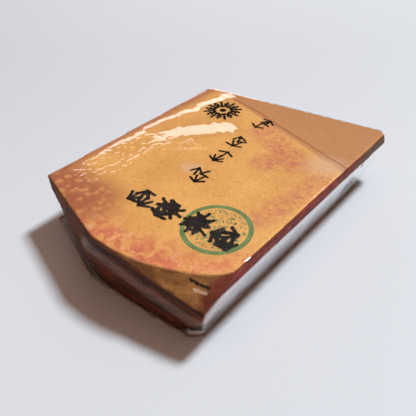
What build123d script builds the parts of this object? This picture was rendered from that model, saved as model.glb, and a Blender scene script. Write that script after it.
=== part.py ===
from build123d import *
from math import atan, copysign, cos, degrees, radians, sin, sqrt
import os

# A natural finishing whetstone with one corner broken away, shrink-wrapped in clear film.
# Brush marks and a round stamp lie on its lapped top face, under the film.
# Origin: middle of the footprint box, on the table. +Y runs along the stone to its far end,
# +X to its right side, +Z up. Millimetres.

# Overall size, over the film
width = 80.0
length = 111.2
height = 20.0
right = width / 2
far = length / 2
front = -length / 2

# Film and ink layers
film_thickness = 0.1
film_gap = 0.05          # between the film and the sides of the stone
ink_room = 0.35          # between the stone's top face and the film above it
stamp_ink = 0.03         # the stamp is printed first, the brush marks lie over it
small_ink = 0.12
bold_ink = 0.28
stone_top = height - film_thickness - ink_room
ink_floor = stone_top + stamp_ink

# Corners of the plan, all at the top of the block
near_left = (-37.5, -45.3)
far_left = (-width / 2 - 0.08, 43.2)
far_left_radius = 3.0
far_right_cut = 3.0
break_end = (0.0, front + 0.3)      # where the broken edge meets the curved front edge
front_bulge = (20.0, front + 3.5)
near_right = (right, front + 15.2)  # where the right side would meet the curved front edge
near_right_radius = 9.0

# Upright front facet under the bevel, cut back at its right-hand foot
facet_left = (-5.5, front)
facet_bulge = (17.0, front + 1.4)
facet_right = (right, front + 4.2)
foot_cut_x = 33.5
foot_cut_front_y = front + 4.0
foot_cut_y = front + 6.6
foot_cut_height = 14.0
foot_lean = 0.45                    # how far these upright sides lean in by at the table

# Bevel round the near right corner: how far it would have run outwards by table level
bevel_run_corner = 36.0
bevel_run_middle = 17.0
bevel_run_break = 4.0
bevel_run_sides = 6.0

# Right side: an upright band under the top edge, then a lean inwards to the table
band_height = 6.5
band_foot = height - band_height
band_lean = 0.3
side_lean = 3.5
side_foot = right - side_lean

# Far right corner, cut away underneath from this height on its upright edge
undercut_height = 11.5
undercut_side_y = 41.0
undercut_far_x = 14.0

# Seal bead round the foot, where the upper and lower films are welded and trimmed
bead_size = 0.35

# Broken faces of the stone inside the film
break_left_height = 13.5            # underside above the table at the near left corner
break_front_height = 5.5            # and at the left-hand end of the front facet
break_front_x = 1.5                 # where the break reaches the table along the front
break_left_y = -4.0                 # and along the left side
hollow_depth = 4.0                  # hollow in the right side, below the upright band
hollow_ledge = 1.0                  # its depth straight under the band
hollow_clear = 2.0                  # how far the cut for it starts outside the stone
hollow_near_y = -33.0               # near end of the hollow, at the band
hollow_foot_y = -49.0               # and at the table
chip_height = 9.0                   # chip at the foot of the near right corner
chip_reach = 3.0
chip_head = 1.2                     # how far in from the corner the chip starts

# Brush marks on the top face: their middles and sizes
emblem_middle = (-20.7, 29.3)
emblem_size = 15.6
emblem_sprigs = 8
emblem_dabs = 3          # in each sprig
emblem_spread = 110      # of the dabs in a sprig, in degrees
stamp_middle = (24.7, -29.0)
stamp_radius = 10.8
stamp_line = 1.5
stipple_dots = 64
stipple_radius = 0.32
stipple_margin = 1.0     # bare space between the dots and the ring
golden_angle = 180 * (3 - sqrt(5))

# Parts of a brush mark, as shares of the mark's size
dab_reach = 0.62
dab_breadth = 0.11
knot_radius = 0.08       # the dot where the dabs of a sprig meet
side_dab_loss = 0.4      # how much shorter a dab is that turns away by the whole spread

# Parts of the emblem, as shares of its size
emblem_dot_radius = 0.09
emblem_sprig_start = 0.19
emblem_dab_reach = 0.33
emblem_dab_breadth = 0.07
emblem_tip_place = 0.44
emblem_tip_radius = 0.045


def save(piece, name):
    """Label a finished piece and write it to its own STEP file."""
    piece.label = name
    export_step(piece, f"parts/{name}.step")


def inwards(point, inset):
    """A plan point moved towards the middle along both axes."""
    return point[0] - copysign(inset, point[0]), point[1] - copysign(inset, point[1])


def plan_outline(front_right, bulge, front_left, left, back_left, back_right):
    """The top face's plan: four straight sides and a curved front edge."""
    with BuildSketch(mode=Mode.PRIVATE) as plan:
        with BuildLine():
            Polyline(front_right, back_right, back_left, left, front_left)
            ThreePointArc(front_left, bulge, front_right)
        make_face()
        fillet(plan.vertices().sort_by_distance(Vector(*front_right))[0], near_right_radius)
        fillet(plan.vertices().sort_by_distance(Vector(*back_left))[0], far_left_radius)
        chamfer(plan.vertices().sort_by_distance(Vector(*back_right))[0], far_right_cut)
    return plan.sketch


def facing_out(a, b, c):
    """The plane through three points, facing away from the middle of the block."""
    a, b, c = Vector(*a), Vector(*b), Vector(*c)
    normal = (b - a).cross(c - a).normalized()
    middle = Vector(0, 0, height / 2)
    if normal.dot(a - middle) < 0:
        normal = normal * -1
    return Plane(origin=a, z_dir=normal)


def wrap_facets():
    """The flat faces that the taut film makes on the right side and the far right corner."""
    band_edge = right - band_lean
    upper_side = facing_out((right, 0, height), (right, far, height), (band_edge, 0, band_foot))
    lower_side = facing_out((band_edge, 0, band_foot), (band_edge, far, band_foot), (side_foot, 0, 0))
    undercut = facing_out((side_foot, undercut_side_y, 0), (undercut_far_x, far - foot_lean, 0),
                          (right - far_right_cut / 2, far - far_right_cut / 2, undercut_height))
    foot_cut = facing_out((foot_cut_x, foot_cut_front_y, 0), (side_foot, foot_cut_y, 0),
                          (band_edge, facet_right[1], foot_cut_height))
    return upper_side, lower_side, undercut, foot_cut


def wrapped_block(inset, top, floor):
    """The taut shape of the wrap, with every face moved inwards by inset."""
    top_corners = [near_right, front_bulge, break_end, near_left, far_left, (right, far)]
    spread_corners = [
        (right + bevel_run_sides, near_right[1] - bevel_run_corner),
        (front_bulge[0] + bevel_run_sides / 3, front_bulge[1] - bevel_run_middle),
        (break_end[0], break_end[1] - bevel_run_break),
        (near_left[0] - bevel_run_sides, near_left[1] - bevel_run_sides),
        (far_left[0] - bevel_run_sides, far_left[1] + bevel_run_sides),
        (right + bevel_run_sides, far + bevel_run_sides),
    ]
    with BuildPart() as block:
        with BuildSketch(Plane.XY.offset(top)) as upright:
            with BuildLine():
                Polyline(facet_right, (right, far), far_left, near_left, facet_left)
                ThreePointArc(facet_left, facet_bulge, facet_right)
            make_face()
            fillet(upright.vertices().sort_by_distance(Vector(*far_left, top))[0], far_left_radius)
            offset(amount=-inset, mode=Mode.REPLACE)
        extrude(amount=top - floor, dir=(0, 0, -1), taper=degrees(atan(foot_lean / height)))
        with BuildSketch(Plane.XY.offset(top)):
            add(plan_outline(*[inwards(point, inset) for point in top_corners]))
        with BuildSketch(Plane.XY.offset(top - height)):
            add(plan_outline(*[inwards(point, inset) for point in spread_corners]))
        loft(ruled=True, mode=Mode.INTERSECT)
        for facet in wrap_facets():
            split(bisect_by=facet.offset(-inset), keep=Keep.BOTTOM)
    return block.part


def break_planes():
    """Natural broken faces under the near left corner, and the chip at the near right foot."""
    corner_point = (*near_left, break_left_height)
    left_foot = (near_left[0], break_left_y, film_thickness)
    front_foot = (break_front_x, front, film_thickness)
    under_corner = facing_out(corner_point, (*facet_left, break_front_height), front_foot)
    under_left = facing_out(corner_point, left_foot, front_foot)
    chip = facing_out((foot_cut_x - chip_reach, foot_cut_front_y, 0),
                      (side_foot, foot_cut_y + chip_reach, 0),
                      (right - chip_head, facet_right[1] + chip_head, chip_height))
    return under_corner, under_left, chip


def leaf(x, y, heading, reach, breadth):
    """One blunt brush dab that starts at (x, y)."""
    ahead = Vector(cos(radians(heading)), sin(radians(heading)))
    middle = Vector(x, y) + ahead * reach / 2
    with BuildSketch(mode=Mode.PRIVATE) as dab:
        with Locations(middle):
            SlotOverall(reach, breadth, rotation=heading)
    return dab.sketch


def sprig(x, y, heading, leaves, spread, reach, breadth):
    """A fan of leaves from one point, the middle ones longest."""
    turns = [spread * (index / (leaves - 1) - 0.5) for index in range(leaves)]
    return [
        leaf(x, y, heading + turn, reach * (1 - side_dab_loss * abs(turn) / spread), breadth)
        for turn in turns
    ]


def brush_mark(name, middle, size, ink, sprigs):
    """A mark of a few sprigs, each given as a place, a heading, its leaves and their spread."""
    with BuildPart() as mark:
        with BuildSketch(Plane.XY.offset(ink_floor)):
            for across, along, heading, leaves, spread in sprigs:
                start = (middle[0] + across * size, middle[1] + along * size)
                with Locations(start):
                    Circle(knot_radius * size)
                add(sprig(*start, heading, leaves, spread, dab_reach * size, dab_breadth * size))
        extrude(amount=ink)
    save(mark.part, name)


os.makedirs("parts", exist_ok=True)

# The hollow that undercuts the stone's right side, from its near end to the far end
with BuildPart() as hollow:
    with BuildSketch(Plane.XZ):
        with BuildLine():
            Polyline((right + hollow_clear, band_foot), (right - hollow_ledge, band_foot),
                     (right - side_lean - hollow_depth, 0), (right + hollow_clear, 0), close=True)
        make_face()
    extrude(amount=length, both=True)
    split(bisect_by=facing_out((right, hollow_near_y, band_foot), (right, hollow_foot_y, 0),
                               (0, hollow_near_y, band_foot)), keep=Keep.BOTTOM)

# The stone
with BuildPart() as whetstone:
    add(wrapped_block(film_thickness + film_gap, stone_top, film_thickness))
    for plane in break_planes():
        split(bisect_by=plane, keep=Keep.BOTTOM)
    add(hollow.part, mode=Mode.SUBTRACT)
save(whetstone.part, "whetstone")

# The film: an upper web drawn over the top and sides, a lower web under the stone
outer = wrapped_block(0, height, 0)
inner = wrapped_block(film_thickness, height - film_thickness, 0)

with BuildPart() as upper_film:
    add(outer)
    add(inner, mode=Mode.SUBTRACT)
save(upper_film.part, "upper_film")

with BuildPart() as lower_film:
    add(inner)
    split(bisect_by=Plane.XY.offset(film_thickness), keep=Keep.BOTTOM)
save(lower_film.part, "lower_film")

with BuildPart() as seal_bead:
    with BuildSketch():
        add(outer.faces().sort_by(Axis.Z)[0])
        offset(amount=bead_size, kind=Kind.INTERSECTION, mode=Mode.REPLACE)
    extrude(amount=bead_size)
    add(outer, mode=Mode.SUBTRACT)
save(seal_bead.part, "seal_bead")

# The stamp: a plain ring and a stippled middle
with BuildPart() as stamp_ring:
    with BuildSketch(Plane.XY.offset(stone_top)):
        with Locations(stamp_middle):
            Circle(stamp_radius)
            Circle(stamp_radius - stamp_line, mode=Mode.SUBTRACT)
    extrude(amount=stamp_ink)
save(stamp_ring.part, "green_stamp_ring")

with BuildPart() as stamp_stipple:
    with BuildSketch(Plane.XY.offset(stone_top)):
        for dot in range(stipple_dots):
            reach = (stamp_radius - stamp_line - stipple_margin) * sqrt((dot + 0.5) / stipple_dots)
            turn = radians(dot * golden_angle)
            with Locations((stamp_middle[0] + reach * cos(turn), stamp_middle[1] + reach * sin(turn))):
                Circle(stipple_radius)
    extrude(amount=stamp_ink)
save(stamp_stipple.part, "green_stamp_stipple")

# The emblem: a wreath of dabs and dots round a larger dot
with BuildPart() as emblem:
    with BuildSketch(Plane.XY.offset(ink_floor)):
        with Locations(emblem_middle):
            Circle(emblem_dot_radius * emblem_size)
        for index in range(emblem_sprigs):
            turn = index * 360 / emblem_sprigs
            out = Vector(emblem_sprig_start * emblem_size, 0).rotate(Axis.Z, turn)
            add(sprig(emblem_middle[0] + out.X, emblem_middle[1] + out.Y, turn, emblem_dabs, emblem_spread,
                      emblem_dab_reach * emblem_size, emblem_dab_breadth * emblem_size))
            tip = Vector(emblem_tip_place * emblem_size, 0).rotate(Axis.Z, turn + 180 / emblem_sprigs)
            with Locations((emblem_middle[0] + tip.X, emblem_middle[1] + tip.Y)):
                Circle(emblem_tip_radius * emblem_size)
    extrude(amount=small_ink)
save(emblem.part, "wreath_emblem")

# Small brush marks in a column, far end first
brush_mark("small_brush_mark_1", (-0.8, 30.2), 7.2, small_ink, [
    (-0.15, -0.55, 84, 3, 120), (0.15, 0.5, 250, 4, 140), (-0.05, 0.05, 20, 2, 70)])
brush_mark("small_brush_mark_2", (-0.5, 13.4), 7.4, small_ink, [
    (0.05, -0.5, 96, 4, 150), (-0.15, 0.45, 292, 3, 90), (0.0, 0.0, 60, 2, 80)])
brush_mark("small_brush_mark_3", (1.4, 1.5), 7.4, small_ink, [
    (0.0, 0.5, 268, 3, 130), (-0.1, -0.5, 86, 5, 130)])
brush_mark("small_brush_mark_4", (2.4, -12.2), 7.4, small_ink, [
    (-0.3, 0.45, 285, 3, 80), (0.25, -0.5, 100, 4, 120), (0.05, 0.15, 30, 2, 70)])

# Bold brush marks in a row, left to right, in thicker ink
brush_mark("bold_brush_mark_1", (-3.2, -33.0), 8.0, bold_ink, [
    (-0.35, -0.35, 60, 4, 110), (0.3, -0.4, 80, 4, 110), (-0.1, 0.45, 300, 4, 120)])
brush_mark("bold_brush_mark_2", (7.5, -31.9), 8.2, bold_ink, [
    (-0.1, -0.5, 80, 5, 150), (0.2, 0.4, 235, 5, 130), (-0.35, 0.15, 320, 3, 90),
    (0.15, 0.0, 20, 4, 130), (-0.1, 0.1, 150, 3, 90)])
brush_mark("bold_brush_mark_3", (18.5, -30.9), 8.4, bold_ink, [
    (0.05, 0.1, 90, 5, 180), (-0.05, 0.0, 275, 5, 170), (0.3, 0.25, 205, 4, 90),
    (-0.3, -0.25, 30, 4, 100), (0.1, -0.1, 340, 3, 90)])
brush_mark("bold_brush_mark_4", (28.8, -30.4), 8.4, bold_ink, [
    (-0.45, -0.1, 5, 5, 130), (0.0, -0.45, 60, 4, 120), (0.4, -0.45, 115, 4, 90),
    (0.3, 0.35, 215, 4, 120)])
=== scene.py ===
from math import cos, pi, radians, sin, sqrt
from random import Random

import bmesh
import bpy
from mathutils import Matrix, Vector, noise
from mathutils.bvhtree import BVHTree


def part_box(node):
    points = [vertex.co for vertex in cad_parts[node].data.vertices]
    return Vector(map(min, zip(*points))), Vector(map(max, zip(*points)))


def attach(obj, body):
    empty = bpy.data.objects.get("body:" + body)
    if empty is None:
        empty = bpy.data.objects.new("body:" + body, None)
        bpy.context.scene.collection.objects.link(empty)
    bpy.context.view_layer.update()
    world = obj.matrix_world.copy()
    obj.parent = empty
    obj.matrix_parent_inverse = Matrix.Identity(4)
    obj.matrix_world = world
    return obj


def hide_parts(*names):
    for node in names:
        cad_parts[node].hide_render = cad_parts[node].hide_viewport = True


# A natural whetstone with one corner broken away, shrink-wrapped in clear film. The stone, the film and
# the ink marks are rebuilt from the frame's own nodes with finer meshes. Lengths are in metres, apart from
# those that a comment or a name ending in _mm gives in millimetres. +Y runs to the far end, +X to the
# right side.

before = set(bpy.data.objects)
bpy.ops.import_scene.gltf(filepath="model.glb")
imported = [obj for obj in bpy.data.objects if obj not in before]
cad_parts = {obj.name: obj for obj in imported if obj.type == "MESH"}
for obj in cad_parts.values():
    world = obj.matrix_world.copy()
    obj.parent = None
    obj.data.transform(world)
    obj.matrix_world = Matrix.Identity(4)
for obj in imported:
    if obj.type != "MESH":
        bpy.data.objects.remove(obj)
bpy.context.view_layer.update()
MM = 0.001

# The camera
camera_place = Vector((0.0876, -0.1035, 0.10678))
camera_azimuth, camera_elevation, camera_roll = radians(41.57), radians(39.2), radians(-1.2)
camera_lens_mm, sensor_mm = 38.94, 36.0

# Mesh steps and the film
stone_step = 0.6 * MM
film_step = 0.75 * MM
mark_step = 0.11 * MM
film_thickness = 0.1 * MM
weld_distance = 0.01 * MM

# A face looks up or down where the height of its normal passes these
facing_up, facing_down = 0.9, -0.9
rounded_turn = 0.06        # faces that turn by more than this, in radians, make an edge to draw round

# The film's relief, all in millimetres. Each set of waves is a wave length, octaves and a height.
broad_waves = (18, 2, 0.03)
left_waves = (4.5, 2, 0.018)
left_start, left_full = 2, 20                # how far left the left waves start and are full
side_waves = (7, 3, 0.07)
upright_waves, upright_stretch = (2.8, 2, 0.035), 0.35
top_starts, top_full = 1.2, 0.3              # how far under the film's highest place the top's waves start
fold_x, fold_y, fold_fade = 39.5, 55, 2.5    # the folds stop at these sides, and fade before them

# Folds in the slack film over the far left of the top: where each starts and ends in the plan, how wide
# its rise and its drop are, its height, and how much its line wanders
film_folds = [
    ((-32.0, -31), (-31.6, 15), 7.0, 3.2, 0.29, 1.6),
    ((-29.6, 11), (-25.2, 42), 6.0, 4.6, 0.36, 1.8),
    ((-24.5, -15.5), (-2.5, 19.5), 8.0, 13.0, 0.84, 2.8),
]
fold_wave, fold_overrun = (7, 3), 1          # the wander's wave length and octaves, and the room at each end
fold_grown, fold_fading = 0.22, 0.85         # the shares of its run where it is full and starts to fall

# Where the film lies slack, and where its mesh is made finer for that
slack_x, slack_y = (-40, 0), (-42, 30)
fine_x, fine_y = (-39, -1), (-44, 46)

# The strip of fine beads: its middle line in the plan, its full and fading half widths, and the beads
bead_line = ((-27.0, -34.0), (-24.0, -8.0))
bead_zone = (5.0, 10.0)
bead_wave, bead_stretch, bead_rise = (1.7, 2), 0.7, (-0.05, 0.35)
bead_height, crease_height = 0.15, 0.20

# Fine raised creases beside the folds, as lines in the plan, and their full and fading half widths
crease_lines = [
    ((-15.0, -6.5), (-13.5, 1.5)), ((-13.5, 1.5), (-5.5, 1.8)), ((-15.0, -6.5), (-5.5, 1.8)),
    ((-5.5, 1.8), (-6.0, 6.0)), ((-21.5, -22), (-20.5, -11)), ((-20.5, -11), (-17.5, -5)),
]
crease_zone = (0.1, 0.75)

# The melted seam round the foot, in millimetres: its radius, how far out and how high it runs, the waves
# in both, and how its thickness varies
seam_radius, seam_out, seam_rise = 0.26, 0.55, 0.24
seam_out_wave, seam_rise_wave = 0.25, 0.05
seam_plain, seam_uneven = 0.85, 0.3
seam_wave, seam_uneven_wave = (5, 3), (2, 2)           # wave length and octaves
seam_look = 3              # how many points away the seam's direction is taken from

# How deep the stone's skin is eaten in, in millimetres: everywhere, by its thin layers, by its roughness,
# and by both in the breaks, which start and are full at these gaps to the film
skin_depth, layer_depth, rough_depth, break_depth = 0.30, 0.14, 0.12, 0.5
break_start, break_full = 0.4, 3.0
layer_flat, layer_thin = 0.25, 1.6                     # the layers are drawn out level and thin
layer_wave, rough_wave = (3.0, 4), (5.0, 5)            # wave length and octaves
film_clearance = 0.16 * MM
foot_clearance = 0.02 * MM

# Ink marks, in millimetres: how far the outline spreads, how lumpy the top is, how much the edge wanders
flat_mark = {"spread_mm": 0.11, "lumps_mm": 0.02, "wander_mm": 0.10}
thick_mark = {"spread_mm": 0.15, "lumps_mm": 0.14, "wander_mm": 0.24}
wander_wave, lump_wave = (1.1, 3), (0.7, 3)            # wave length and octaves
lump_middle = 0.6                                      # a wave of this height leaves the top as it is

# The stamp's speckled middle: its seed, how many dots, how far out they reach as a share of the ring's
# radius, and the ranges that each dot is drawn from
stipple_seed, stipple_dots, stipple_reach = 7, 420, 0.80
dot_size_mm, dot_stretch, dot_sides, dot_top = (0.10, 0.34), (0.6, 1.5), (7, 8, 9), 0.8

film_top_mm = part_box("upper_film")[1].z / MM
stone_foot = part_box("whetstone")[0].z


def smooth(value, low, high):
    """0 below low, 1 above high, and a smooth turn between them."""
    share = min(1.0, max(0.0, (value - low) / (high - low)))
    return share * share * (3 - 2 * share)


def ripple(x, y, z, scale_mm, octaves):
    """Smooth seeded noise from about -1 to 1 at a place in millimetres. In the plan, z picks a pattern."""
    return noise.fractal(Vector((x, y, z)) / scale_mm, 1.0, 2.0, octaves)


def waves(x, y, z, length, octaves, height):
    """Seeded waves of one length and height, in millimetres."""
    return ripple(x, y, z, length, octaves) * height


def within(value, ends):
    return ends[0] < value < ends[1]


# ---------------------------------------------------------------- pieces

def new_object(name, mesh, paint, node_slot, *nodes):
    """Adds a piece of the object, on the root body, standing for the CAD nodes named."""
    mesh.materials.clear()
    mesh.materials.append(paint)
    piece = bpy.data.objects.new(name, mesh)
    bpy.context.scene.collection.objects.link(piece)
    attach(piece, "root")
    if nodes:
        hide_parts(*nodes)


def evaluated(name, data, *modifiers):
    """The mesh of this data after these modifiers, each a type and its settings."""
    carrier = bpy.data.objects.new(name, data)
    bpy.context.scene.collection.objects.link(carrier)
    for kind, settings in modifiers:
        modifier = carrier.modifiers.new(kind, kind)
        for key, value in settings.items():
            setattr(modifier, key, value)
    bpy.context.view_layer.update()
    graph = bpy.context.evaluated_depsgraph_get()
    result = bpy.data.meshes.new_from_object(carrier.evaluated_get(graph), depsgraph=graph)
    bpy.data.objects.remove(carrier)
    return result


def remeshed(mesh, step):
    """The mesh rebuilt in even quads of one size."""
    return evaluated("carrier", mesh, ("REMESH", {"mode": "VOXEL", "voxel_size": step}))


def opened(mesh):
    """The mesh as a form to edit, with its normals up to date."""
    form = bmesh.new()
    form.from_mesh(mesh)
    form.normal_update()
    return form


def closed(form, mesh):
    """The mesh, with the edited form written to it."""
    form.to_mesh(mesh)
    form.free()
    return mesh


def shaded_smooth(mesh):
    for polygon in mesh.polygons:
        polygon.use_smooth = True
    return mesh


def film_hull():
    """The closed convex outside of the wrap."""
    form = bmesh.new()
    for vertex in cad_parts["upper_film"].data.vertices:
        form.verts.new(vertex.co)
    bmesh.ops.remove_doubles(form, verts=form.verts, dist=weld_distance)
    made = bmesh.ops.convex_hull(form, input=form.verts, use_existing_faces=False)
    spare = [item for item in made["geom_interior"] + made["geom_unused"]
             if isinstance(item, bmesh.types.BMVert)]
    bmesh.ops.delete(form, geom=list(set(spare)), context="VERTS")
    return closed(form, bpy.data.meshes.new("film_hull"))


def fold(x, y, start, end, rise, drop, height, wander):
    """The height of a fold from start to end, in millimetres: a rise on its right, then a drop."""
    run = Vector(end) - Vector(start)
    along = run.normalized()
    away = Vector((x - start[0], y - start[1]))
    t = away.dot(along)
    s = away.dot(Vector((-along.y, along.x))) + wander * ripple(t, 0, start[0], *fold_wave)
    taper = (smooth(t, -fold_overrun, fold_grown * run.length)
             * smooth(-t, -run.length - fold_overrun, -fold_fading * run.length))
    return height * taper * smooth(s, -rise, 0) * (1 - smooth(s, 0, drop))


def to_line(x, y, a, b):
    """The distance in the plan from (x, y) to the line from a to b."""
    start, run, place = Vector(a), Vector(b) - Vector(a), Vector((x, y))
    share = min(1.0, max(0.0, (place - start).dot(run) / run.length_squared))
    return (place - start - run * share).length


def slack_relief(x, y):
    """Fine beads and sharp little creases where the film lies slack, in millimetres."""
    if not (within(x, slack_x) and within(y, slack_y)):
        return 0.0
    zone = 1 - smooth(to_line(x, y, *bead_line), *bead_zone)
    beads = smooth(ripple(x, y * bead_stretch, 2, *bead_wave), *bead_rise) if zone else 0.0
    crease = max(1 - smooth(to_line(x, y, *line), *crease_zone) for line in crease_lines)
    return max(beads * zone * bead_height, crease * crease_height)


def film_relief(x, y, z):
    """How far the film stands out from its taut shape, in millimetres."""
    top = smooth(z, film_top_mm - top_starts, film_top_mm - top_full)
    inner = smooth(min(x + fold_x, fold_x - x, y + fold_y, fold_y - y), 0, fold_fade)
    folds = sum(fold(x, y, *shape) for shape in film_folds)
    level = waves(x, y, 0, *broad_waves) + waves(x, y, 5, *left_waves) * smooth(-x, left_start, left_full)
    side = waves(x, y, z, *side_waves) + waves(x + y, x - y, z * upright_stretch, *upright_waves)
    slack = slack_relief(x, y) if top > 0.5 else 0.0
    return top * (level + slack + folds * inner) + (1 - top) * side


def film_surface():
    """The film's outer surface in even quads, with its edges drawn round and its relief raised."""
    mesh = remeshed(film_hull(), film_step)
    form = opened(mesh)
    edge_zone = [vertex for vertex in form.verts
                 if any(face.normal.angle(vertex.link_faces[0].normal, 0) > rounded_turn
                        for face in vertex.link_faces)]
    bmesh.ops.smooth_vert(form, verts=edge_zone, factor=0.5, use_axis_x=True, use_axis_y=True,
                          use_axis_z=True)
    slack_faces = [face for face in form.faces
                   if face.normal.z > facing_up and within(face.calc_center_median().x / MM, fine_x)
                   and within(face.calc_center_median().y / MM, fine_y)]
    slack_edges = list({edge for face in slack_faces for edge in face.edges})
    bmesh.ops.subdivide_edges(form, edges=slack_edges, cuts=1, use_grid_fill=True)
    form.normal_update()
    for vertex in form.verts:
        x, y, z = vertex.co / MM
        if vertex.normal.z > facing_down:
            vertex.co += vertex.normal * film_relief(x, y, z) * MM
            vertex.co.z = max(vertex.co.z, 0.0)
    return closed(form, mesh)


def film_part(surface, under):
    """The upper film, or the flat sheet under the stone, with its real thickness."""
    form = opened(surface)
    away = [face for face in form.faces if (face.normal.z < facing_down) != under]
    bmesh.ops.delete(form, geom=away, context="FACES")
    sheet = closed(form, bpy.data.meshes.new("film"))
    solid = evaluated("carrier", sheet, ("SOLIDIFY", {"thickness": film_thickness, "offset": -1.0}))
    return shaded_smooth(solid)


def foot_loop(surface):
    """The places round the foot where the film's sides meet its flat underside, in order."""
    form = opened(surface)
    rim = [edge for edge in form.edges
           if len(edge.link_faces) == 2
           and (edge.link_faces[0].normal.z < facing_down) != (edge.link_faces[1].normal.z < facing_down)]
    beside = {}
    for edge in rim:
        for vertex in edge.verts:
            beside.setdefault(vertex, []).append(edge)
    start = rim[0].verts[0]
    loop, vertex, came = [start], start, None
    while True:
        came = [edge for edge in beside[vertex] if edge is not came][0]
        vertex = came.other_vert(vertex)
        if vertex is start:
            break
        loop.append(vertex)
    places = [point.co.copy() for point in loop]
    form.free()
    return places


def seal_seam(surface):
    """The melted seam where the two sheets meet, a thin uneven bead round the foot."""
    places = foot_loop(surface)
    curve = bpy.data.curves.new("seam", "CURVE")
    curve.dimensions = "3D"
    curve.bevel_depth = seam_radius * MM
    curve.bevel_resolution = 2
    line = curve.splines.new("POLY")
    line.points.add(len(places) - 1)
    line.use_cyclic_u = True
    for index, point in enumerate(line.points):
        before, here, after = (places[(index + turn) % len(places)] for turn in (-seam_look, 0, seam_look))
        run = (after - before).normalized()
        out = run.cross(Vector((0, 0, 1)))
        if out.dot(here) < 0:
            out = -out
        x, y, _ = here / MM
        sway = ripple(x, y, 0, *seam_wave)
        place = here + out * (seam_out + seam_out_wave * sway) * MM
        point.co = (place.x, place.y, (seam_rise + seam_rise_wave * sway) * MM, 1)
        point.radius = seam_plain + seam_uneven * ripple(x, y, 3, *seam_uneven_wave)
    return shaded_smooth(evaluated("seam_curve", curve))


def stone_relief(x, y, z, normal, depth):
    """How far the stone's skin is eaten in, in millimetres: little under the film, more in the breaks."""
    if normal.z > facing_up:
        return 0.0
    layered = ripple(x * layer_flat, y * layer_flat, z * layer_thin, *layer_wave)
    rough = ripple(x, y, z, *rough_wave)
    in_break = smooth(depth, break_start, break_full)
    skin = skin_depth + layer_depth * layered + rough_depth * rough
    return skin + in_break * break_depth * (rough + layered)


def stone_mesh(surface):
    """The stone with natural skin on its sides and rough layered breaks, always inside the film."""
    mesh = remeshed(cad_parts["whetstone"].data, stone_step)
    wrap = BVHTree.FromPolygons([vertex.co for vertex in surface.vertices],
                                [polygon.vertices for polygon in surface.polygons])
    form = opened(mesh)
    for vertex in form.verts:
        x, y, z = vertex.co / MM
        distance = wrap.find_nearest(vertex.co)[3]
        vertex.co -= vertex.normal * stone_relief(x, y, z, vertex.normal, distance / MM) * MM
        vertex.co.z = max(vertex.co.z, stone_foot + foot_clearance)
    for vertex in form.verts:
        near, out, _, _ = wrap.find_nearest(vertex.co)
        inside = (near - vertex.co).dot(out)
        if inside < film_clearance:
            vertex.co -= out * (film_clearance - inside)
    return shaded_smooth(closed(form, mesh))


def thickened(mesh, spread_mm):
    """A flat mark with its outline pushed out, as wet ink spreads, then rebuilt in even quads."""
    form = opened(remeshed(mesh, mark_step))
    for vertex in form.verts:
        side = Vector((vertex.normal.x, vertex.normal.y, 0))
        vertex.co += side * spread_mm * MM
    return remeshed(closed(form, bpy.data.meshes.new("spread")), mark_step)


def mark_mesh(node, spread_mm, lumps_mm, wander_mm):
    """A brush mark with soft, wandering edges and a lumpy top."""
    mesh = thickened(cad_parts[node].data, spread_mm)
    low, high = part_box(node)
    form = opened(mesh)
    bmesh.ops.smooth_vert(form, verts=form.verts, factor=0.5, use_axis_x=True, use_axis_y=True,
                          use_axis_z=False)
    for vertex in form.verts:
        x, y, _ = vertex.co / MM
        drift = Vector((ripple(x, y, 0, *wander_wave), ripple(x, y, 9, *wander_wave), 0)) * wander_mm
        vertex.co += drift * MM
        height = smooth(vertex.co.z, low.z, high.z)
        vertex.co.z += height * (ripple(x, y, 4, *lump_wave) - lump_middle) * lumps_mm * MM
    return shaded_smooth(closed(form, mesh))


def stipple_mesh():
    """Small uneven flat dots of stamp ink inside the ring."""
    draw = Random(stipple_seed)
    low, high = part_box("green_stamp_ring")
    middle, radius = (low + high) / 2, (high.x - low.x) / 2
    form = bmesh.new()
    for _ in range(stipple_dots):
        reach, turn = radius * stipple_reach * sqrt(draw.random()), draw.uniform(0, 2 * pi)
        size = draw.uniform(*dot_size_mm) * MM
        place = Matrix.Translation((middle.x + reach * cos(turn), middle.y + reach * sin(turn), middle.z))
        dot = bmesh.ops.create_cone(form, cap_ends=True, segments=draw.choice(dot_sides), radius1=size,
                                    radius2=size * dot_top, depth=high.z - low.z,
                                    matrix=place @ Matrix.Rotation(draw.uniform(0, pi), 4, "Z"))
        stretch = Vector((draw.uniform(*dot_stretch), draw.uniform(*dot_stretch), 1))
        bmesh.ops.scale(form, vec=stretch, verts=dot["verts"], space=place.inverted())
    return closed(form, bpy.data.meshes.new("stipple"))


# ---------------------------------------------------------------- materials

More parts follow.
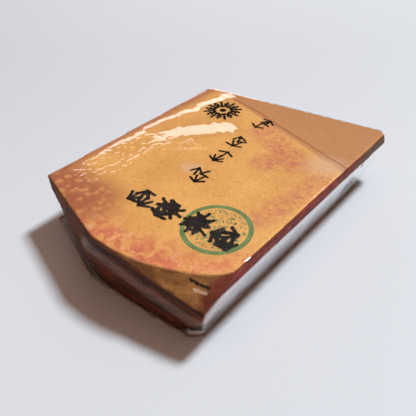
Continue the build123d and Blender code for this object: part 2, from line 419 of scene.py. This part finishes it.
class Paint:
    """A node material built in a few lines. P is the place on the object in millimetres."""

    def __init__(self, name):
        self.material = bpy.data.materials.new(name)
        self.material.use_nodes = True
        self.tree = self.material.node_tree
        self.tree.nodes.clear()
        self.out = self.tree.nodes.new("ShaderNodeOutputMaterial")
        place = self.node("ShaderNodeTexCoord", output="Object")
        self.P = self.node("ShaderNodeVectorMath", {0: place, "Scale": 1 / MM}, operation="SCALE")
        self.X, self.Y, self.Z = self.split(self.P)
        self.N = self.split(self.node("ShaderNodeNewGeometry", output="Normal"))

    def node(self, kind, inputs=None, output=0, **settings):
        made = self.tree.nodes.new(kind)
        for key, value in settings.items():
            setattr(made, key, value)
        for key, value in (inputs or {}).items():
            if isinstance(value, bpy.types.NodeSocket):
                self.tree.links.new(value, made.inputs[key])
            else:
                made.inputs[key].default_value = value
        return made.outputs[output]

    def split(self, vector):
        made = self.tree.nodes.new("ShaderNodeSeparateXYZ")
        self.tree.links.new(vector, made.inputs[0])
        return made.outputs[0], made.outputs[1], made.outputs[2]

    def math(self, operation, a, b, clamp=False):
        return self.node("ShaderNodeMath", {0: a, 1: b}, operation=operation, use_clamp=clamp)

    def chain(self, operation, values):
        result = values[0]
        for value in values[1:]:
            result = self.math(operation, result, value)
        return result

    def times(self, *values):
        return self.chain("MULTIPLY", values)

    def plus(self, *values):
        return self.chain("ADD", values)

    def most(self, *values):
        return self.chain("MAXIMUM", values)

    def without(self, value, whole=1.0):
        """What is left of the whole."""
        return self.math("SUBTRACT", whole, value)

    def step(self, value, low, high):
        """0 at low and 1 at high, or the other way round where low is above high."""
        ends = {"From Min": low, "From Max": high, "To Min": 0.0, "To Max": 1.0}
        if low > high:
            ends = {"From Min": high, "From Max": low, "To Min": 1.0, "To Max": 0.0}
        return self.node("ShaderNodeMapRange", {"Value": value, **ends}, interpolation_type="SMOOTHSTEP")

    def noise(self, scale_mm, detail, rough=0.5, vector=None, distortion=0.0):
        return self.node("ShaderNodeTexNoise", {"Vector": vector or self.P, "Scale": 1 / scale_mm,
                                                "Detail": detail, "Roughness": rough,
                                                "Distortion": distortion})

    def patches(self, scale_mm, detail, rough, low, high, **settings):
        """Patches of noise that start where it passes low and are full where it passes high."""
        return self.step(self.noise(scale_mm, detail, rough, **settings), low, high)

    def sway(self, scale_mm, detail, reach, rough=0.5):
        """Noise about 0, over this reach."""
        return self.times(self.math("SUBTRACT", self.noise(scale_mm, detail, rough), 0.5), reach)

    def moved(self, x=0.0, y=0.0):
        """The place on the object, moved in the plan."""
        offset = self.node("ShaderNodeCombineXYZ", {0: x, 1: y})
        return self.node("ShaderNodeVectorMath", {0: self.P, 1: offset}, operation="ADD")

    def stretched(self, x, y, z):
        return self.node("ShaderNodeVectorMath", {0: self.P, 1: (x, y, z)}, operation="MULTIPLY")

    def flat(self, across, up):
        """A flat place, for lines that are drawn on an upright side."""
        return self.node("ShaderNodeCombineXYZ", {0: across, 1: up})

    def mix(self, share, a, b):
        made = self.tree.nodes.new("ShaderNodeMix")
        made.data_type = "RGBA"
        for key, value in ((0, share), (6, a), (7, b)):
            if isinstance(value, bpy.types.NodeSocket):
                self.tree.links.new(value, made.inputs[key])
            else:
                made.inputs[key].default_value = (*value, 1)
        return made.outputs[2]

    def coats(self, ground, rows):
        """The ground with coats over it, each given as its colour, its strength and where it lies."""
        for colour, strength, place in rows:
            ground = self.mix(self.times(place, strength), ground, colour)
        return ground

    def near_line(self, a, b, width, soft, vector=None):
        """1 on the flat line from a to b, in the plan, falling to 0 beyond its width."""
        run = Vector((b[0] - a[0], b[1] - a[1], 0))
        flat = self.node("ShaderNodeVectorMath", {0: vector or self.P, 1: (1, 1, 0)}, operation="MULTIPLY")
        away = self.node("ShaderNodeVectorMath", {0: flat, 1: (a[0], a[1], 0)}, operation="SUBTRACT")
        along = self.node("ShaderNodeVectorMath", {0: away, 1: tuple(run / run.length_squared)},
                          output="Value", operation="DOT_PRODUCT")
        share = self.math("ADD", along, 0.0, clamp=True)
        reach = self.node("ShaderNodeVectorMath", {0: tuple(run), "Scale": share}, operation="SCALE")
        distance = self.node("ShaderNodeVectorMath", {0: away, 1: reach}, output="Value",
                             operation="DISTANCE")
        return self.step(distance, width + soft, width)

    def near_lines(self, lines):
        return self.most(*[self.near_line(*line) for line in lines])

    def bump(self, height, strength, distance_mm):
        return self.node("ShaderNodeBump", {"Height": height, "Strength": strength,
                                            "Distance": distance_mm * MM})

    def principled(self, **inputs):
        """A Principled shader. Each input goes by its own name, with low lines for the spaces."""
        return self.node("ShaderNodeBsdfPrincipled",
                         {key.replace("_", " "): value for key, value in inputs.items()})

    def finish(self, shader):
        self.tree.links.new(shader, self.out.inputs["Surface"])
        return self.material


# Colours of the stone's top, its stains, its sides and its bevel
honey, pale_honey, deep_honey = (0.74, 0.335, 0.070), (0.86, 0.43, 0.105), (0.66, 0.27, 0.065)
bright_grain, brown_smudge = (0.97, 0.58, 0.19), (0.56, 0.22, 0.055)
salmon, pale_salmon, vein_red = (0.67, 0.165, 0.075), (0.95, 0.48, 0.24), (0.62, 0.16, 0.085)
mottle_brown, mottle_ochre = (0.40, 0.10, 0.040), (0.78, 0.33, 0.10)
far_brown, far_dark = (0.55, 0.235, 0.080), (0.42, 0.15, 0.05)
# The pale haze colour is a painted reflection: the faint haze that the film over the top reflects
rim_brown, reflected_haze_pale = (0.40, 0.13, 0.05), (0.80, 0.60, 0.45)
speck_brown, line_brown = (0.16, 0.06, 0.03), (0.40, 0.080, 0.016)
layer_dark, layer_red, fleck_ochre = (0.050, 0.008, 0.001), (0.27, 0.050, 0.008), (0.30, 0.13, 0.04)
deep_red, bright_red, far_right_brown = (0.24, 0.020, 0.012), (0.48, 0.060, 0.030), (0.20, 0.085, 0.03)
skin_dark, skin_pale = (0.13, 0.032, 0.009), (0.30, 0.095, 0.028)
bevel_ochre, bevel_pale, bevel_brown = (0.34, 0.135, 0.035), (0.56, 0.25, 0.07), (0.20, 0.07, 0.02)
bevel_red, ridge_dark = (0.20, 0.025, 0.012), (0.045, 0.013, 0.005)
# On the bevel: a painted highlight beside a small slit, and the slit painted dark as its shade
lip_highlight_pale, slit_shade_dark = (0.86, 0.58, 0.40), (0.012, 0.004, 0.002)

# The other colours
ink_black, ink_brown = (0.004, 0.003, 0.003), (0.030, 0.014, 0.008)
stamp_green, stamp_pale = (0.10, 0.22, 0.055), (0.19, 0.34, 0.10)
seam_pale, seam_burnt = (0.80, 0.60, 0.45), (0.36, 0.20, 0.12)
# The table's two tones are painted shade and painted light: darker at the far left, lighter at the near
# right
table_shaded_grey, table_lit_pale = (0.615, 0.62, 0.63), (0.725, 0.74, 0.765)
plain_white, milky_white = (1, 1, 1, 1), (0.85, 0.70, 0.58, 1)

# Which way a face is turned, as the part of its normal along one axis: where a look starts and is full
top_turn, bevel_turn, right_turn = (0.80, 0.97), (0.22, 0.42), (0.55, 0.85)
left_turn, far_turn = (-0.5, -0.8), (0.5, 0.8)

# Where a look starts and is full along one axis, in millimetres
bevel_y, ridge_y = (-30, -38), (-44, -48)
far_brown_y, bevel_brown_x = (18, 44), (12, 0)

# Patches: a size in millimetres, detail, roughness, and the values where a patch starts and is full
clouds = (22, 4, 0.55, 0.36, 0.66)
deep_patches = (5, 5, 0.65, 0.50, 0.75)
fine_grain = (0.55, 3, 0.6, 0.40, 0.70)
smudges = (2.0, 5, 0.7, 0.50, 0.72)
blotches = (4.2, 6, 0.62, 0.40, 0.62)
pale_patches = (2.6, 4, 0.55, 0.52, 0.68)
streaks = (1.9, 6, 0.68, 0.42, 0.62)
far_stains = (2.2, 6, 0.7, 0.48, 0.70)
specks = (1.3, 2, 0.5, 0.735, 0.76)
flecks = (1.7, 5, 0.65, 0.58, 0.72)
red_patches = (3.5, 5, 0.6, 0.38, 0.66)
skin_patches = (5, 5, 0.6, 0.35, 0.65)
ochre_patches = (4, 5, 0.6, 0.35, 0.65)
worn_patches = (1.5, 4, 0.6, 0.2, 0.8)
fleck_stretch = (0.5, 0.5, 1.4)

# The sides' thin level layers: their noise, how it is drawn out level, and where a layer starts and is full
layer_noise, layer_stretch, layer_edges = (1.0, 5, 0.6), (0.10, 0.10, 0.75), (0.36, 0.62)

# Wandering places and lines: a size in millimetres, detail, and the reach of the wandering in millimetres
stain_wander, line_wander = (6, 4, 9.0), (5, 4, 1.6)
lip_wander_x, lip_wander_y = (1.6, 3, 1.0), (1.1, 3, 1.0)

# How rough the stone is at its smoothest, how much rougher it gets, how deep its grain and its layers are in
# the bump, and how much of that the lapped top has lost
stone_roughness, worn_roughness = 0.55, 0.2
grain_noise, grain_bump, layer_bump, lapped_smooth = (0.8, 5, 0.65), 0.6, 0.8, 0.93

# Lines on the stone that its stains follow, in millimetres: both ends, the half width and the fade beyond
left_edge = ((-41, -48), (-42, 46), 2.0, 9.0)
broken_edge = ((-39, -46), (-2, -57), 4.0, 14.0)
front_edge = ((0, -57), (30, -50), 4.0, 12.0)
near_right_corner = ((30, -50), (41, -36), 2.0, 8.0)
near_left_corner = ((-38, -44), (-16, -44), 4.0, 12.0)
red_veins = [((2, 27), (24, 14), 2.0, 6.5), ((15, 8), (20, 18), 2.5, 5.0), ((32, -18), (36.5, 10), 1.0, 5.5)]
dark_rims = [((-40.0, -45), (-41.6, 48), 2.2, 6.0), ((-42, 56.6), (40, 56.6), 1.0, 2.2)]
# Pale patches of painted reflection, where the film over the top reflects a faint haze
painted_reflection_hazes = [((32, 19), (34, 20), 1.0, 9.0), ((-3, -11), (-1, -10), 0.5, 4.0)]
bevel_end = ((38.5, -48), (41, -34), 1.2, 3.0)
# Where the painted highlight and the slit's painted shade lie on the bevel
lip_highlight_line = ((33.4, -48.5), (36.6, -47.2), 0.05, 0.5)
slit_line = ((31.4, -47.7), (36.2, -46.1), 0.05, 0.55)
facet_ridge = ((-5, 18.6), (38, 12.4), 0.35, 0.9)      # across and up, on the front facet

# The thin dark line across the far end, as points in the plan, its half width and its fade. Beyond it the
# stone is browner: where y + far_tilt * x passes far_start.
dark_line, dark_line_width = [(-24, 40.6), (-8.5, 37.3), (16.4, 29.5), (31.5, 25.0), (40, 22.4)], (0.16, 0.3)
far_tilt, far_start, far_full = 0.32, 31.5, 33.5

# The mottling by the near left corner: the size of its cells, how far noise swirls them, and their edges
cell_mm, swirl_mm, swirl_scale, cell_edges = 2.7, 2.6, 0.4, (0.60, 0.15)


def stone_top(p):
    """The lapped top: honey ochre, with clouds, a fine grain, red-brown stains, a thin dark line and pale
    patches of painted reflection.
    """
    left, broken, front, corner = (
        p.near_line(*edge) for edge in (left_edge, broken_edge, front_edge, near_right_corner))
    by_edges = p.most(p.times(left, 0.8), broken, front, corner)
    blotchy = p.plus(p.times(p.patches(*blotches, distortion=0.6), 0.75), 0.25)
    streaky = p.plus(p.times(p.patches(*streaks, distortion=0.8), 0.65), 0.2)

    by_left_corner = p.near_line(*near_left_corner)
    colour_noise = p.node("ShaderNodeTexNoise", {"Vector": p.P, "Scale": swirl_scale, "Detail": 3.0},
                          output="Color")
    swirl = p.node("ShaderNodeVectorMath", {0: colour_noise, "Scale": swirl_mm}, operation="SCALE")
    swirled = p.node("ShaderNodeVectorMath", {0: p.P, 1: swirl}, operation="ADD")
    cells = p.node("ShaderNodeTexVoronoi", {"Vector": swirled, "Scale": 1 / cell_mm, "Randomness": 1.0},
                   output="Distance")

    beyond = p.step(p.plus(p.Y, p.times(p.X, far_tilt)), far_start, far_full)
    drifted = p.moved(y=p.sway(*line_wander))
    line = p.most(*[p.near_line(a, b, *dark_line_width, drifted) for a, b in zip(dark_line, dark_line[1:])])

    return p.coats(p.mix(p.patches(*clouds), honey, pale_honey), [
        (deep_honey, 0.4, p.patches(*deep_patches)),
        (bright_grain, 0.5, p.patches(*fine_grain)),
        (brown_smudge, 0.35, p.patches(*smudges)),
        (salmon, 1, p.times(by_edges, blotchy)),
        (pale_salmon, 0.65, p.times(p.most(broken, front), p.patches(*pale_patches))),
        (mottle_brown, 0.8, by_left_corner),
        (mottle_ochre, 0.75, p.times(by_left_corner, p.step(cells, *cell_edges))),
        (vein_red, 1, p.times(p.near_lines(red_veins), streaky)),
        (far_brown, 0.85, beyond),
        (far_dark, 0.35, p.times(beyond, p.patches(*far_stains))),
        (rim_brown, 0.75, p.near_lines(dark_rims)),
        # painted reflection: the film's pale haze, painted into the stone's colour
        (reflected_haze_pale, 0.35, p.near_lines(painted_reflection_hazes)),
        (speck_brown, 0.55, p.patches(*specks)),
        (line_brown, 0.9, line),
    ])


def stone_side(p, layers):
    """The sides: thin level layers of dark red-brown, redder on the right, with ochre on the bevel, where a
    small slit is painted shade with a painted highlight beside it.
    """
    wander = p.sway(*stain_wander, rough=0.6)
    right = p.step(p.N[0], *right_turn)
    red = p.mix(p.patches(*red_patches), deep_red, bright_red)
    red = p.mix(p.step(p.plus(p.Y, wander), *far_brown_y), red, far_right_brown)
    left_or_far = p.most(p.step(p.N[0], *left_turn), p.step(p.N[1], *far_turn))
    skin = p.mix(p.patches(*skin_patches), skin_dark, skin_pale)
    bevel = p.times(p.step(p.N[2], *bevel_turn), p.step(p.Y, *bevel_y))
    ochre = p.mix(p.patches(*ochre_patches), bevel_ochre, bevel_pale)
    ochre = p.mix(p.step(p.plus(p.X, wander), *bevel_brown_x), ochre, bevel_brown)
    ridge = p.times(p.near_line(*facet_ridge, p.flat(p.X, p.Z)), p.step(p.Y, *ridge_y))
    jittered = p.moved(p.sway(*lip_wander_x), p.sway(*lip_wander_y))

    return p.coats(p.mix(p.step(layers, *layer_edges), layer_dark, layer_red), [
        (fleck_ochre, 0.5, p.patches(*flecks, vector=p.stretched(*fleck_stretch))),
        (red, 1, right),
        (skin, 0.7, left_or_far),
        (ochre, 1, bevel),
        (bevel_red, 0.9, p.times(p.near_line(*bevel_end), bevel)),
        (ridge_dark, 0.85, ridge),
        # a painted highlight beside the slit, then the slit's painted shade
        (lip_highlight_pale, 0.8, p.times(bevel, p.near_line(*lip_highlight_line, jittered))),
        (slit_shade_dark, 1, p.times(bevel, p.near_line(*slit_line, jittered))),
    ])


def stone_paint():
    p = Paint("natural_stone")
    up = p.step(p.N[2], *top_turn)
    layers = p.noise(*layer_noise, vector=p.stretched(*layer_stretch), distortion=0.5)
    roughness = p.plus(p.times(p.patches(*worn_patches), worn_roughness), stone_roughness)
    heights = p.plus(p.times(p.noise(*grain_noise), grain_bump), p.times(layers, layer_bump))
    skin = p.times(heights, p.without(p.times(up, lapped_smooth)))
    return p.finish(p.principled(Base_Color=p.mix(up, stone_side(p, layers), stone_top(p)),
                                 Roughness=roughness, Specular_IOR_Level=0.35,
                                 Normal=p.bump(skin, strength=0.6, distance_mm=0.5)))


# The film: how rough its scuffs are, its index of refraction, and how milky it is all over
film_roughness, film_index, film_haze = 0.022, 1.5, 0.002

# Lines where the film shines less or looks milky, in millimetres: both ends, the half width and the fade
front_sheen = ((-4, 14.6), (36, 7.9), 0.9, 3.0)        # across and up, on the front
side_slits = [((25.5, 7.6), (31, 12.4), 0.35, 0.7), ((33, 13.2), (35.5, 14.8), 0.2, 0.6)]   # and the side
dull_corner = ((24, -52), (40, -38), 2.0, 4.0)
dull_left = ((-37.8, -45.3), (-40.3, 43), 1.3, 1.2)
dull_right = ((40, -42), (40, 52), 0.9, 0.9)
milky_tip = ((34.5, -52.2), (36.8, -50.2), 0.4, 1.6)

# Where the film's looks start and are full: by how it is turned, and along one axis in millimetres
film_front_turn, film_right_turn, film_upright_turn = (-0.45, -0.85), (0.6, 0.9), (-0.16, -0.08)
band_foot_z, corner_z, right_edge_z, tip_z = (16.6, 15.9), (15.5, 17.5), (18.5, 19.2), (4.5, 2.0)
gap_y = (24, 36)

# How much of its shine the film loses on the front (less in the sheen), on the band, at dull edges and in
# the gaps, how much it gains below the band, and how milky it is at the tip and in the sheen
front_loss, sheen_loss, band_loss, edge_loss, gap_loss = 0.99, 0.22, 0.94, 0.93, 0.8
below_gain, upright_gain = 0.4, 1.3
tip_milk, sheen_milk = 0.6, 0.075
gap_patches, edge_patches = (2.4, 4, 0.6, 0.50, 0.60), (4, 2, 0.5, 0.62, 0.5)
scuff_patches, least_scuff = (2.4, 5, 0.6, 0.3, 0.8), 0.6


def film_strength(p, front, sheen):
    """How strongly the film reflects, as a share of clean flat film."""
    on_front = p.times(front, p.without(p.times(sheen, sheen_loss), whole=front_loss))
    on_right = p.step(p.N[0], *film_right_turn)
    upright = p.step(p.N[2], *film_upright_turn)
    on_side = p.flat(p.Y, p.Z)
    far_gaps = p.times(p.step(p.Y, *gap_y), p.patches(*gap_patches), gap_loss)
    slits = p.most(*[p.near_line(*slit, on_side) for slit in side_slits], far_gaps)
    below_band = p.times(p.step(p.plus(p.Z, p.noise(9, 3)), *band_foot_z), p.without(slits))
    band = p.times(on_right, p.without(below_band))
    strength = p.plus(p.without(p.most(on_front, p.times(band, band_loss))),
                      p.times(on_right, below_band, p.plus(p.times(upright, upright_gain), below_gain)))
    corner = p.times(p.near_line(*dull_corner), p.step(p.Z, *corner_z))
    right_edge = p.times(p.near_line(*dull_right), p.step(p.Z, *right_edge_z), p.patches(*edge_patches))
    return p.times(strength, p.without(
        p.most(p.times(corner, edge_loss), p.times(p.near_line(*dull_left), edge_loss), right_edge)))


def film_paint():
    """Thin clear film: it reflects by angle and lets the rest straight through, with a little haze."""
    p = Paint("clear_film")
    front = p.step(p.N[1], *film_front_turn)
    sheen = p.near_line(*front_sheen, p.flat(p.X, p.Z))
    back = p.node("ShaderNodeNewGeometry", output="Backfacing")
    index = p.plus(p.times(back, 1 / film_index - film_index), film_index)
    plain = p.node("ShaderNodeFresnel", {"IOR": index})
    share = p.math("MULTIPLY", plain, film_strength(p, front, sheen), clamp=True)
    scuffs = p.patches(*scuff_patches)
    rough = p.plus(p.times(scuffs, film_roughness), film_roughness * least_scuff)
    tip = p.times(p.near_line(*milky_tip), p.step(p.Z, *tip_z), tip_milk)
    cloudy = p.plus(tip, p.times(sheen, front, sheen_milk), film_haze)
    clear = p.node("ShaderNodeBsdfTransparent", {"Color": plain_white})
    milky = p.node("ShaderNodeBsdfDiffuse", {"Color": milky_white})
    body = p.node("ShaderNodeMixShader", {0: cloudy, 1: clear, 2: milky})
    gloss = p.node("ShaderNodeBsdfGlossy", {"Color": plain_white, "Roughness": rough})
    return p.finish(p.node("ShaderNodeMixShader", {0: share, 1: body, 2: gloss}))


def seam_paint():
    p = Paint("melted_seam")
    burnt = p.patches(4, 4, 0.6, 0.45, 0.7)
    base = p.mix(burnt, seam_pale, seam_burnt)
    return p.finish(p.principled(Base_Color=base, Roughness=0.3, Alpha=0.65))


def ink_paint(name, roughness, bump_mm, brown, gloss):
    """Black brush ink, a little brown where it lies thin."""
    p = Paint(name)
    thin = p.patches(0.9, 4, 0.6, 0.5, 0.8)
    base = p.mix(p.times(thin, brown), ink_black, ink_brown)
    lumps = p.bump(p.noise(0.35, 4, 0.6), strength=0.8, distance_mm=bump_mm)
    return p.finish(p.principled(Base_Color=base, Roughness=p.plus(p.times(thin, 0.25), roughness),
                                 Specular_IOR_Level=gloss, Normal=lumps))


def stamp_paint():
    """Green stamp ink that took unevenly, so the stone shows through it in places."""
    p = Paint("green_stamp_ink")
    worn = p.patches(0.7, 5, 0.7, 0.36, 0.56)
    tone = p.mix(p.patches(3, 4, 0.6, 0.35, 0.7), stamp_green, stamp_pale)
    ink = p.principled(Base_Color=tone, Roughness=0.6)
    clear = p.node("ShaderNodeBsdfTransparent", {"Color": plain_white})
    share = p.plus(p.times(worn, 0.45), 0.5)
    return p.finish(p.node("ShaderNodeMixShader", {0: share, 1: clear, 2: ink}))


def floor_paint():
    """A pale table with a fine grain, and painted shade that makes it a little darker towards the far left,
    as the light falls off.
    """
    p = Paint("pale_table")
    # painted shade: the light's fall-off, painted as a darker tone towards the far left
    across = p.step(p.math("SUBTRACT", p.X, p.Y), -260, 200)
    base = p.mix(across, table_shaded_grey, table_lit_pale)
    grain = p.bump(p.noise(1.1, 4, 0.6), strength=0.25, distance_mm=0.15)
    return p.finish(p.principled(Base_Color=base, Roughness=0.7, Specular_IOR_Level=0.15, Normal=grain))


# ---------------------------------------------------------------- camera, floor and light

def add_camera():
    ahead = Vector((-sin(camera_azimuth) * cos(camera_elevation),
                    cos(camera_azimuth) * cos(camera_elevation), -sin(camera_elevation)))
    level = Vector((cos(camera_azimuth), sin(camera_azimuth), 0))
    above = level.cross(ahead)
    right = level * cos(camera_roll) + above * sin(camera_roll)
    up = above * cos(camera_roll) - level * sin(camera_roll)
    data = bpy.data.cameras.new("camera")
    data.sensor_width, data.lens = sensor_mm, camera_lens_mm
    data.clip_start, data.clip_end = 0.01, 20
    camera = bpy.data.objects.new("camera", data)
    turn = Matrix((right, up, -ahead)).transposed()
    camera.matrix_world = Matrix.Translation(camera_place) @ turn.to_4x4()
    bpy.context.scene.collection.objects.link(camera)
    bpy.context.scene.camera = camera


def add_lamp(name, azimuth, elevation, distance, size, watts, colour):
    """A soft lamp that faces the object. The azimuth is measured from +Y towards -X, in degrees."""
    turn, rise = radians(azimuth), radians(elevation)
    way = Vector((-sin(turn) * cos(rise), cos(turn) * cos(rise), sin(rise)))
    data = bpy.data.lights.new(name, "AREA")
    data.shape = "RECTANGLE"
    data.size, data.size_y = size
    data.energy, data.color = watts, colour
    lamp = bpy.data.objects.new(name, data)
    lamp.location = way * distance
    lamp.rotation_euler = way.to_track_quat("Z", "Y").to_euler()
    bpy.context.scene.collection.objects.link(lamp)


def add_world(strength, colour):
    world = bpy.data.worlds.new("studio")
    bpy.context.scene.world = world
    world.use_nodes = True
    background = world.node_tree.nodes["Background"]
    background.inputs["Color"].default_value = (*colour, 1)
    background.inputs["Strength"].default_value = strength


def add_floor(half_size, gap):
    """A square table, this far under the object so that their faces don't share a plane."""
    form = bmesh.new()
    bmesh.ops.create_grid(form, x_segments=2, y_segments=2, size=half_size)
    floor = bpy.data.objects.new("table", closed(form, bpy.data.meshes.new("table")))
    floor.location.z = -gap
    bpy.context.scene.collection.objects.link(floor)
    floor.data.materials.append(floor_paint())


add_camera()
add_floor(half_size=3.0, gap=0.01 * MM)
add_world(strength=0.072, colour=(1.0, 0.68, 0.53))
add_lamp("key", azimuth=-10, elevation=56, distance=2.4, size=(0.38, 0.38), watts=66.0,
         colour=(0.81, 0.912, 0.99))
add_lamp("window", azimuth=50, elevation=16.5, distance=1.3, size=(0.84, 0.33), watts=1.95,
         colour=(1.0, 0.90, 0.88))
add_lamp("strip", azimuth=2, elevation=43, distance=1.5, size=(0.55, 0.12), watts=0.5,
         colour=(1.0, 0.93, 0.90))
add_lamp("fill", azimuth=0, elevation=89, distance=1.5, size=(1.6, 1.6), watts=5.6,
         colour=(1.0, 0.62, 0.46))
bpy.context.scene.view_settings.view_transform = "Standard"

# ---------------------------------------------------------------- the object

surface = film_surface()
clear_film = film_paint()
new_object("film_upper", film_part(surface, under=False), clear_film, "clear_film", "upper_film")
new_object("film_lower", film_part(surface, under=True), clear_film, "clear_film", "lower_film")
new_object("film_seam", seal_seam(surface), seam_paint(), "film_weld", "seal_bead")
new_object("stone", stone_mesh(surface), stone_paint(), "stone", "whetstone")

flat_ink = ink_paint("brush_ink", roughness=0.6, bump_mm=0.01, brown=0.3, gloss=0.0)
thick_ink = ink_paint("thick_brush_ink", roughness=0.10, bump_mm=0.07, brown=0.4, gloss=0.22)
for node in sorted(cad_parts):
    if node.startswith("small_brush_mark") or node == "wreath_emblem":
        new_object(node + "_ink", mark_mesh(node, **flat_mark), flat_ink, "black_ink", node)
    elif node.startswith("bold_brush_mark"):
        new_object(node + "_ink", mark_mesh(node, **thick_mark), thick_ink, "raised_black_ink", node)

stamp_ink = stamp_paint()
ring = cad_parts["green_stamp_ring"]
ring.data.materials.clear()
ring.data.materials.append(stamp_ink)
new_object("green_stamp_dots", stipple_mesh(), stamp_ink, "green_ink", "green_stamp_stipple")
